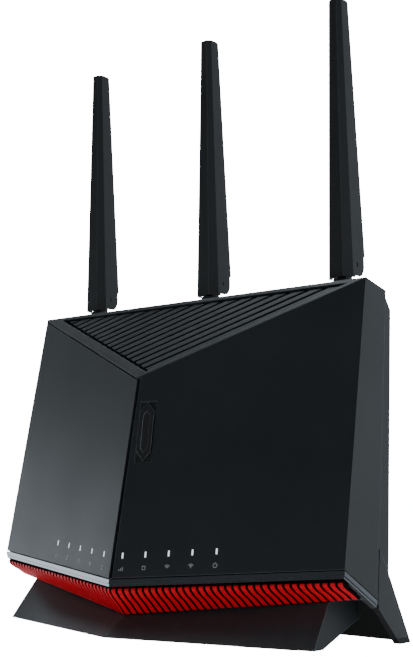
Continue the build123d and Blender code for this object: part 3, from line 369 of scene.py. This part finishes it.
rib_unit = unit_rib()
print("rib faces:", len(rib_unit.data.polygons))

# %% [markdown]
# ## The tree that lays the ribs
# Named inputs hold the band's four corners, so the same tree makes both halves. A mesh line
# gives the places, the unit rib is put on each, and after Realize Instances every point is
# moved by the formula: corner to corner along the half, then down the slope, then out along
# the band's normal.

# %% Rib band tree
def gn_group(name, inputs):
    tree = bpy.data.node_groups.new(name, "GeometryNodeTree")
    tree.interface.new_socket("Geometry", in_out="INPUT", socket_type="NodeSocketGeometry")
    for title, kind, default in inputs:
        socket = tree.interface.new_socket(title, in_out="INPUT", socket_type=kind)
        if default is not None:
            socket.default_value = default
    tree.interface.new_socket("Geometry", in_out="OUTPUT", socket_type="NodeSocketGeometry")
    return tree, tree.nodes.new("NodeGroupInput"), tree.nodes.new("NodeGroupOutput")


def vector_maths(tree, operation, a, b=None, scale=None):
    inputs = {0: a}
    if b is not None:
        inputs[1] = b
    if scale is not None:
        inputs["Scale"] = scale
    return node(tree, "ShaderNodeVectorMath", inputs, operation=operation).outputs[0]


def over(tree, value, limit):
    """Where a value is over a limit."""
    inputs = {0: value, 1: limit}
    return node(tree, "FunctionNodeCompare", inputs, data_type="FLOAT", operation="GREATER_THAN").outputs[0]


def part_way(tree, start, run, share):
    """The point a share of a run along from its start."""
    return vector_maths(tree, "ADD", start, vector_maths(tree, "SCALE", run, scale=share))


OBJECT, MATERIAL, INTEGER = "NodeSocketObject", "NodeSocketMaterial", "NodeSocketInt"
band_tree, band_in, band_out = gn_group(
    "Rib band",
    [
        ("Upper start", VECTOR, (0.0, 0.0, 0.0)),
        ("Upper end", VECTOR, (0.0, 0.0, 0.0)),
        ("Lower start", VECTOR, (0.0, 0.0, 0.0)),
        ("Lower end", VECTOR, (0.0, 0.0, 0.0)),
        ("Rise", FLOAT, 0.0013),
        ("Count", INTEGER, 33),
        ("Rib share", FLOAT, 0.7),
        ("Lip", FLOAT, 0.0012),
        ("Rib", OBJECT, None),
        ("Rib finish", MATERIAL, None),
        ("Gap painted shade", MATERIAL, None),
    ],
)
given = band_in.outputs
pitch = maths(band_tree, "DIVIDE", 1.0, given["Count"])
first = node(band_tree, "ShaderNodeCombineXYZ", {0: maths(band_tree, "MULTIPLY", pitch, 0.5)}).outputs[0]
step = node(band_tree, "ShaderNodeCombineXYZ", {0: pitch}).outputs[0]
places = node(
    band_tree, "GeometryNodeMeshLine", {"Count": given["Count"], "Start Location": first, "Offset": step}
)
rib_width = maths(band_tree, "MULTIPLY", pitch, given["Rib share"])
rib_size = node(band_tree, "ShaderNodeCombineXYZ", {0: rib_width, 1: 1.0, 2: 1.0})
rib_shape = node(band_tree, "GeometryNodeObjectInfo", {"Object": given["Rib"]}).outputs["Geometry"]
laid = node(
    band_tree,
    "GeometryNodeInstanceOnPoints",
    {"Points": places.outputs[0], "Instance": rib_shape, "Scale": rib_size.outputs[0]},
)
BACKING = 0.9  # thickness of the strip under the ribs, as a share of their rise
backing = node(
    band_tree,
    "GeometryNodeMeshCube",
    {"Size": (1.0, 1.0, BACKING), "Vertices X": 2, "Vertices Y": 6, "Vertices Z": 2},
)
backing_at = node(
    band_tree,
    "GeometryNodeTransform",
    {"Geometry": backing.outputs[0], "Translation": (0.5, 0.5, -BACKING / 2)},
)
both = node(band_tree, "GeometryNodeJoinGeometry")
band_tree.links.new(laid.outputs[0], both.inputs[0])
band_tree.links.new(backing_at.outputs[0], both.inputs[0])
real = node(band_tree, "GeometryNodeRealizeInstances", {0: both.outputs[0]})

position = node(band_tree, "GeometryNodeInputPosition").outputs[0]
flat = node(band_tree, "ShaderNodeSeparateXYZ", {0: position}).outputs
# The walls and the floor of the gaps, and the strip under them, get a near-black painted shade; only the
# ribs' crowns are red.
gap_shade_painted = node(
    band_tree, "GeometryNodeSetMaterial", {"Geometry": real.outputs[0], "Material": given["Gap painted shade"]}
)
crown = over(band_tree, flat[2], CROWN)
coloured = node(
    band_tree,
    "GeometryNodeSetMaterial",
    {"Geometry": gap_shade_painted.outputs[0], "Selection": crown, "Material": given["Rib finish"]},
)
upper_run = vector_maths(band_tree, "SUBTRACT", given["Upper end"], given["Upper start"])
lower_run = vector_maths(band_tree, "SUBTRACT", given["Lower end"], given["Lower start"])
upper_at = part_way(band_tree, given["Upper start"], upper_run, flat[0])
lower_at = part_way(band_tree, given["Lower start"], lower_run, flat[0])
fall = vector_maths(band_tree, "SUBTRACT", lower_at, upper_at)
fall_parts = node(band_tree, "ShaderNodeSeparateXYZ", {0: fall}).outputs
fall_back = maths(band_tree, "MULTIPLY", fall_parts[1], -1.0)
across_fall = node(band_tree, "ShaderNodeCombineXYZ", {1: fall_parts[2], 2: fall_back}).outputs[0]
outward = vector_maths(band_tree, "NORMALIZE", across_fall)
along = part_way(band_tree, upper_at, fall, flat[1])
stand_off = maths(band_tree, "MULTIPLY", maths(band_tree, "SUBTRACT", flat[2], 1.0), given["Rise"])
lifted = vector_maths(band_tree, "SCALE", outward, scale=stand_off)
# The lip stands the ribs' upper end off to the front, most at the place where the lip ends.
hump = node(band_tree, "ShaderNodeFloatCurve", {"Value": flat[1]})
curve = hump.mapping.curves[0]
curve.points[0].location, curve.points[1].location = (0.0, 0.15), (1.0, 0.0)
curve.points.new(LIP, 1.0)
curve.points.new(0.6, 0.32)
hump.mapping.update()
is_rib = over(band_tree, flat[2], 0.01)
lip_height = maths(band_tree, "MULTIPLY", hump.outputs[0], given["Lip"])
lip_by = maths(band_tree, "MULTIPLY", lip_height, is_rib)
lipped = vector_maths(band_tree, "SCALE", outward, scale=lip_by)
bent = vector_maths(band_tree, "ADD", vector_maths(band_tree, "ADD", along, lifted), lipped)
placed = node(band_tree, "GeometryNodeSetPosition", {"Geometry": coloured.outputs[0], "Position": bent})
band_tree.links.new(placed.outputs[0], band_out.inputs[0])

# %% [markdown]
# ## Making the two halves
# A modifier's inputs are set by their identifiers. The evaluated result is then copied into a
# plain mesh, because an exported piece can't carry a live tree. The two halves are joined into
# one piece that stands for the plain band of the CAD model.

# %% Lay the ribs
def run_tree(tree, name, settings):
    """Runs a Geometry Nodes tree on an empty mesh and returns the plain result as an object."""
    carrier = bpy.data.objects.new(name, bpy.data.meshes.new(name))
    bpy.context.collection.objects.link(carrier)
    modifier = carrier.modifiers.new(name, "NODES")
    modifier.node_group = tree
    for item in tree.interface.items_tree:
        if item.item_type == "SOCKET" and item.in_out == "INPUT" and item.name in settings:
            modifier[item.identifier] = settings[item.name]
    bpy.context.view_layer.update()
    evaluated = carrier.evaluated_get(bpy.context.evaluated_depsgraph_get())
    mesh = bpy.data.meshes.new_from_object(evaluated)
    mesh.name = name
    carrier.modifiers.remove(modifier)
    carrier.data = mesh
    return carrier


def recalculated(thing):
    shape = bmesh.new()
    shape.from_mesh(thing.data)
    bmesh.ops.recalc_face_normals(shape, faces=shape.faces)
    shape.to_mesh(thing.data)
    shape.free()
    return thing


def joined(things, name):
    """The things as one object, the first one's."""
    shape = bmesh.new()
    materials = []
    for thing in things:
        start = len(shape.faces)
        shape.from_mesh(thing.data)
        shape.faces.ensure_lookup_table()
        for face in shape.faces[start:]:
            material = thing.data.materials[face.material_index]
            if material not in materials:
                materials.append(material)
            face.material_index = materials.index(material)
    mesh = bpy.data.meshes.new(name)
    shape.to_mesh(mesh)
    shape.free()
    for material in materials:
        mesh.materials.append(material)
    whole = bpy.data.objects.new(name, mesh)
    bpy.context.collection.objects.link(whole)
    for thing in things:
        bpy.data.objects.remove(thing)
    return whole


# Near-black painted shade for the gaps, their walls and the backing strip, which are the same red plastic in
# shadow.
gap_painted_shade = finish(
    "Rib gap painted shade", (0.004, 0.0, 0.0), (0.007, 0.0, 0.0), rough=0.85, specular=0.1, wear_and_highlight=0.0, dust=0.0
)
BAND = {  # the corners of the right half, in millimetres
    "Upper start": (0.0, -40.9, 23.3),
    "Upper end": (117.2, -8.9, 30.8),
    "Lower start": (0.0, -30.4, 10.1),
    "Lower end": (117.2, 3.5, 22.5),
}
RIB_COUNT, RIB_SHARE, LIP_HEIGHT = 33, 0.68, 1.1  # ribs on a half, share of the pitch, mm
halves = []
for side in (-1, 1):
    corners = {title: Vector((side * x, y, z)) * MM for title, (x, y, z) in BAND.items()}
    half = run_tree(band_tree, f"ribs {side}", {
        **corners, "Rise": RIB_RISE * MM, "Count": RIB_COUNT, "Rib share": RIB_SHARE, "Lip": LIP_HEIGHT * MM,
        "Rib": rib_unit, "Rib finish": finishes["rib_red"], "Gap painted shade": gap_painted_shade,
    })
    halves.append(recalculated(half))
rib_band = joined(halves, "ribbed_band")
for polygon in rib_band.data.polygons:
    polygon.use_smooth = False
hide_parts("rib_band")
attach(rib_band, "router")
print("ribs:", len(rib_band.data.polygons), "faces")

# %% [markdown]
# ## Socket contacts
# Each network socket has eight gold springs on the floor of its cavity. The CAD sockets only
# have their plain shapes. A second tree repeats one gold spring eight times over them, and
# runs once for each of the six sockets, with the socket's place as its input.

# %% Contact tree
contact_tree, contact_in, contact_out = gn_group(
    "Contacts",
    [
        ("Place", VECTOR, (0.0, 0.0, 0.0)),
        ("Count", INTEGER, 8),
        ("Pitch", FLOAT, 0.00102),
        ("Size", VECTOR, (0.0005, 0.0095, 0.0016)),
        ("Gold", MATERIAL, None),
    ],
)
given = contact_in.outputs
span = maths(contact_tree, "MULTIPLY", given["Pitch"], maths(contact_tree, "SUBTRACT", given["Count"], 1.0))
half_back = maths(contact_tree, "MULTIPLY", span, -0.5)
row_shift = node(contact_tree, "ShaderNodeCombineXYZ", {0: half_back}).outputs[0]
row_start = vector_maths(contact_tree, "ADD", given["Place"], row_shift)
row_step = node(contact_tree, "ShaderNodeCombineXYZ", {0: given["Pitch"]}).outputs[0]
row = node(
    contact_tree,
    "GeometryNodeMeshLine",
    {"Count": given["Count"], "Start Location": row_start, "Offset": row_step},
)
spring = node(contact_tree, "GeometryNodeMeshCube", {"Size": given["Size"]})
springs = node(
    contact_tree, "GeometryNodeInstanceOnPoints", {"Points": row.outputs[0], "Instance": spring.outputs[0]}
)
solid_springs = node(contact_tree, "GeometryNodeRealizeInstances", {0: springs.outputs[0]})
gilded = node(
    contact_tree,
    "GeometryNodeSetMaterial",
    {"Geometry": solid_springs.outputs[0], "Material": given["Gold"]},
)
contact_tree.links.new(gilded.outputs[0], contact_out.inputs[0])

# %% Lay the contacts
gold = finish("Contact gold", (0.85, 0.55, 0.18), rough=0.25, metal=1.0, edge_mm=0.05, dust=0.0)
PORT_PITCH = 15.0  # mm between two ports of one block
CONTACT_DEPTH, CONTACT_DROP = 7.7, 3.3  # mm from the socket's mouth and middle to a spring's middle
rows = []
for name, ports in (("fast_lan_socket", 1), ("wan_socket", 1), ("lan_socket_block", 4)):
    low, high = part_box(name)
    for i in range(ports):
        x = (low.x + high.x) / 2 + (i - (ports - 1) / 2) * PORT_PITCH * MM
        place = Vector((x, high.y - CONTACT_DEPTH * MM, (low.z + high.z) / 2 - CONTACT_DROP * MM))
        rows.append(run_tree(contact_tree, f"contacts {name} {i}", {"Place": place, "Gold": gold}))
socket_contacts = joined(rows, "socket_contacts")
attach(socket_contacts, "router")
print("contacts:", len(socket_contacts.data.polygons) // 6)

# %% [markdown]
# ## Printed marks
# Under each indicator is a small pale mark, from a plain set of signs made for this lesson:
# rings, bars, waves and, at the right end, the power sign. They are
# thin slips of ink just proud of the plastic. Each is drawn in flat strokes, an arc or a bar
# at a time, and then carried onto the facet by the facet's own directions.

# %% Stroke helpers
INK_H = 0.03  # mm, how far the ink stands off


def add_arc(shape, place, centre, radius, start, end, width, steps=18):
    """A flat arc in the plane of place, from start to end degrees, counted from the right."""
    inner, outer = [], []
    for i in range(steps + 1):
        angle = math.radians(start + (end - start) * i / steps)
        for ring, r in ((inner, radius - width / 2), (outer, radius + width / 2)):
            ring.append((centre[0] + r * math.cos(angle), centre[1] + r * math.sin(angle)))
    for i in range(steps):
        add_tile(shape, place, [inner[i], outer[i], outer[i + 1], inner[i + 1]])


def add_bar(shape, place, centre, width, height):
    (x, y), w, h = centre, width / 2, height / 2
    add_tile(shape, place, [(x - w, y - h), (x + w, y - h), (x + w, y + h), (x - w, y + h)])


def add_tile(shape, place, corners):
    """A closed slip of ink over the corners, in millimetres on the plane."""
    top = [shape.verts.new(place @ Vector((x * MM, y * MM, INK_H * MM))) for x, y in corners]
    low = [shape.verts.new(place @ Vector((x * MM, y * MM, -0.02 * MM))) for x, y in corners]
    shape.faces.new(top)
    shape.faces.new(list(reversed(low)))
    for i in range(len(top)):
        j = (i + 1) % len(top)
        shape.faces.new((top[i], low[i], low[j], top[j]))


def facet_frame(x, z):
    """A matrix at a point of the front: x runs to the right along the facet and y runs up it."""
    side = 1 if x >= 0 else -1
    n = front_normal[side]
    right = Vector((-n.y, n.x, 0)).normalized()
    upward = n.cross(right)
    spot = on_front(x, z)
    return Matrix.Translation(spot) @ Matrix((right, upward, n)).transposed().to_4x4()


# %% Draw the marks
LAMP_FIRST = {-1: 8.4, 1: 5.6}  # mm from the crease to the first indicator on each half
LAMP_STEPS = [12.4 * i for i in range(5)]
MARK_DROP = 6.4  # from an indicator's middle to its mark's


FRONT_LOW, FRONT_LOW_END, FRONT_HALF = 28.7, 36.9, 118.2  # mm, the front's lower edge
LAMP_RISE = 10.7  # mm from that edge up to the indicators


def indicator_z(x):
    return FRONT_LOW + (FRONT_LOW_END - FRONT_LOW) / FRONT_HALF * abs(x) + LAMP_RISE


def mark_ring(s, p):
    add_arc(s, p, (0, 0), 0.95, 0, 360, 0.28, 24)


def mark_bars(s, p):
    for i, height in enumerate((0.8, 1.4, 2.0)):
        add_bar(s, p, ((i - 1) * 0.95, height / 2 - 1.0), 0.42, height)


def mark_waves(s, p):
    for radius in (0.7, 1.3, 1.9):
        add_arc(s, p, (0, -0.9), radius, 45, 135, 0.26)


def mark_two_waves(s, p):
    mark_waves(s, p)
    add_bar(s, p, (0, -0.85), 0.4, 0.4)


def mark_square(s, p):
    for way in (-1, 1):
        add_bar(s, p, (0, way * 0.85), 1.9, 0.26)
        add_bar(s, p, (way * 0.82, 0), 0.26, 1.6)


def mark_globe(s, p):
    mark_ring(s, p)
    add_bar(s, p, (0, 0), 0.22, 1.7)
    add_bar(s, p, (0, 0), 1.7, 0.22)


def mark_screen(s, p):
    mark_square(s, p)
    add_bar(s, p, (0, -1.35), 1.3, 0.24)


def mark_slash(s, p):
    add_bar(s, p, (0.35, 0.3), 0.26, 1.6)
    add_arc(s, p, (-0.15, -0.45), 0.5, 90, 330, 0.26)


def mark_power(s, p):
    add_arc(s, p, (0, -0.1), 1.05, 125, 415, 0.3, 24)
    add_bar(s, p, (0, 0.75), 0.3, 1.1)


marks = {1: [mark_bars, mark_square, mark_waves, mark_two_waves, mark_power],
         -1: [mark_screen, mark_globe, mark_ring, mark_square, mark_slash]}
ink_shape = bmesh.new()
for side, kinds in marks.items():
    for x, kind in zip(LAMP_STEPS, kinds):
        x += LAMP_FIRST[side]
        kind(ink_shape, facet_frame(side * x * MM, (indicator_z(x) - MARK_DROP) * MM))
ink_mesh = bpy.data.meshes.new("printed_marks")
bmesh.ops.recalc_face_normals(ink_shape, faces=ink_shape.faces)
ink_shape.to_mesh(ink_mesh)
ink_shape.free()
printed_marks = bpy.data.objects.new("printed_marks", ink_mesh)
bpy.context.collection.objects.link(printed_marks)
ink_mesh.materials.append(finish("Pale ink", (0.42, 0.44, 0.46), rough=0.6, edge_mm=0.02, dust=0.0))
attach(printed_marks, "router")
print("marks:", sum(len(k) for k in marks.values()))

# %% [markdown]
# ## Light, floor and camera
# Black plastic shows what it reflects. The world is a room that is bright behind the router
# and to its right, which lights the side wall, and dark in front, which keeps the right facet
# deep. A low lamp at the left grades the left facet, and another lights the front foot. Room
# and floor look plain white to the camera.

# %% Room
CAMERA_TURN = math.radians(41.1)  # round the object, from the front towards its right
bright = Vector((0.51, 0.86, 0)).normalized()  # where the room is bright, beyond the right side
world = bpy.data.worlds.new("studio")
bpy.context.scene.world = world
world.use_nodes = True
room = world.node_tree
room.nodes.clear()
direction = node(room, "ShaderNodeTexCoord").outputs["Generated"]
towards_bright = dot(room, direction, bright)
height = node(room, "ShaderNodeSeparateXYZ", {0: direction}).outputs[2]
depth_light = ramp(room, towards_bright, -0.45, 0.7, 0.21, 1.15)
height_light = ramp(room, height, 0.0, 0.7, 1.0, 0.45)
seen = maths(room, "MULTIPLY", depth_light, height_light)
camera_ray = node(room, "ShaderNodeLightPath").outputs["Is Camera Ray"]
lit = node(room, "ShaderNodeBackground", {"Color": (0.84, 0.93, 1.0, 1.0), "Strength": seen})
plain = node(room, "ShaderNodeBackground", {"Strength": 24.0})
choice = node(room, "ShaderNodeMixShader", {0: camera_ray, 1: lit.outputs[0], 2: plain.outputs[0]})
node(room, "ShaderNodeOutputWorld", {0: choice.outputs[0]})

floor_mesh = bpy.data.meshes.new("floor")
floor_shape = bmesh.new()
bmesh.ops.create_circle(floor_shape, cap_ends=True, segments=64, radius=12.0)
floor_shape.to_mesh(floor_mesh)
floor_shape.free()
floor = bpy.data.objects.new("floor", floor_mesh)
floor.location.z = -0.0002
bpy.context.collection.objects.link(floor)
floor_paint = bpy.data.materials.new("floor paint")
floor_paint.use_nodes = True
paint = floor_paint.node_tree.nodes["Principled BSDF"].inputs
paint["Base Color"].default_value = (0.9, 0.9, 0.9, 1)
paint["Roughness"].default_value = 0.9
paint["Specular IOR Level"].default_value = 0.1
paint["Emission Color"].default_value = (1, 1, 1, 1)
floor_tree = floor_paint.node_tree
floor_seen = node(floor_tree, "ShaderNodeLightPath").outputs["Is Camera Ray"]
floor_glow = ramp(floor_tree, floor_seen, 0.0, 1.0, 0.12, 16.0)
floor_tree.links.new(floor_glow, paint["Emission Strength"])
floor_mesh.materials.append(floor_paint)


# %% Soft lamps
def softbox(name, place, target, size, power):
    lamp = bpy.data.lights.new(name, "AREA")
    lamp.color = (0.86, 0.94, 1.0)
    lamp.shape, lamp.size, lamp.size_y, lamp.energy = "RECTANGLE", size[0], size[1], power
    thing = bpy.data.objects.new(name, lamp)
    thing.location = place
    thing.rotation_euler = (Vector(target) - Vector(place)).to_track_quat("-Z", "Y").to_euler()
    bpy.context.collection.objects.link(thing)
    return thing


softbox("top light", (-0.3, 0.3, 1.5), (0, 0, 0.1), (1.2, 1.2), 14.0)
softbox("foot light", (-1.1, 0.4, 0.6), (0, 0, 0.0), (0.5, 0.4), 2.0)
softbox("low left light", (-1.3, -0.22, 0.10), (0, 0, 0.06), (0.6, 0.30), 2.1)

# %% [markdown]
# ## The camera
# The camera stands low, a little over table height, to the right of the front, and looks
# slightly up, so that the aerials tower. A long lens keeps the lines nearly parallel.

# %% Camera
lens = bpy.data.cameras.new("camera")
camera = bpy.data.objects.new("camera", lens)
camera.location = (0.4270, -0.4556, 0.0742)
camera.rotation_euler = Euler((math.radians(90 + 7.45), math.radians(-0.14), CAMERA_TURN), "XYZ")
lens.sensor_width, lens.lens = 36.0, 64.71
lens.shift_x, lens.shift_y = -0.0053, 0.0038
bpy.context.collection.objects.link(camera)
bpy.context.scene.camera = camera
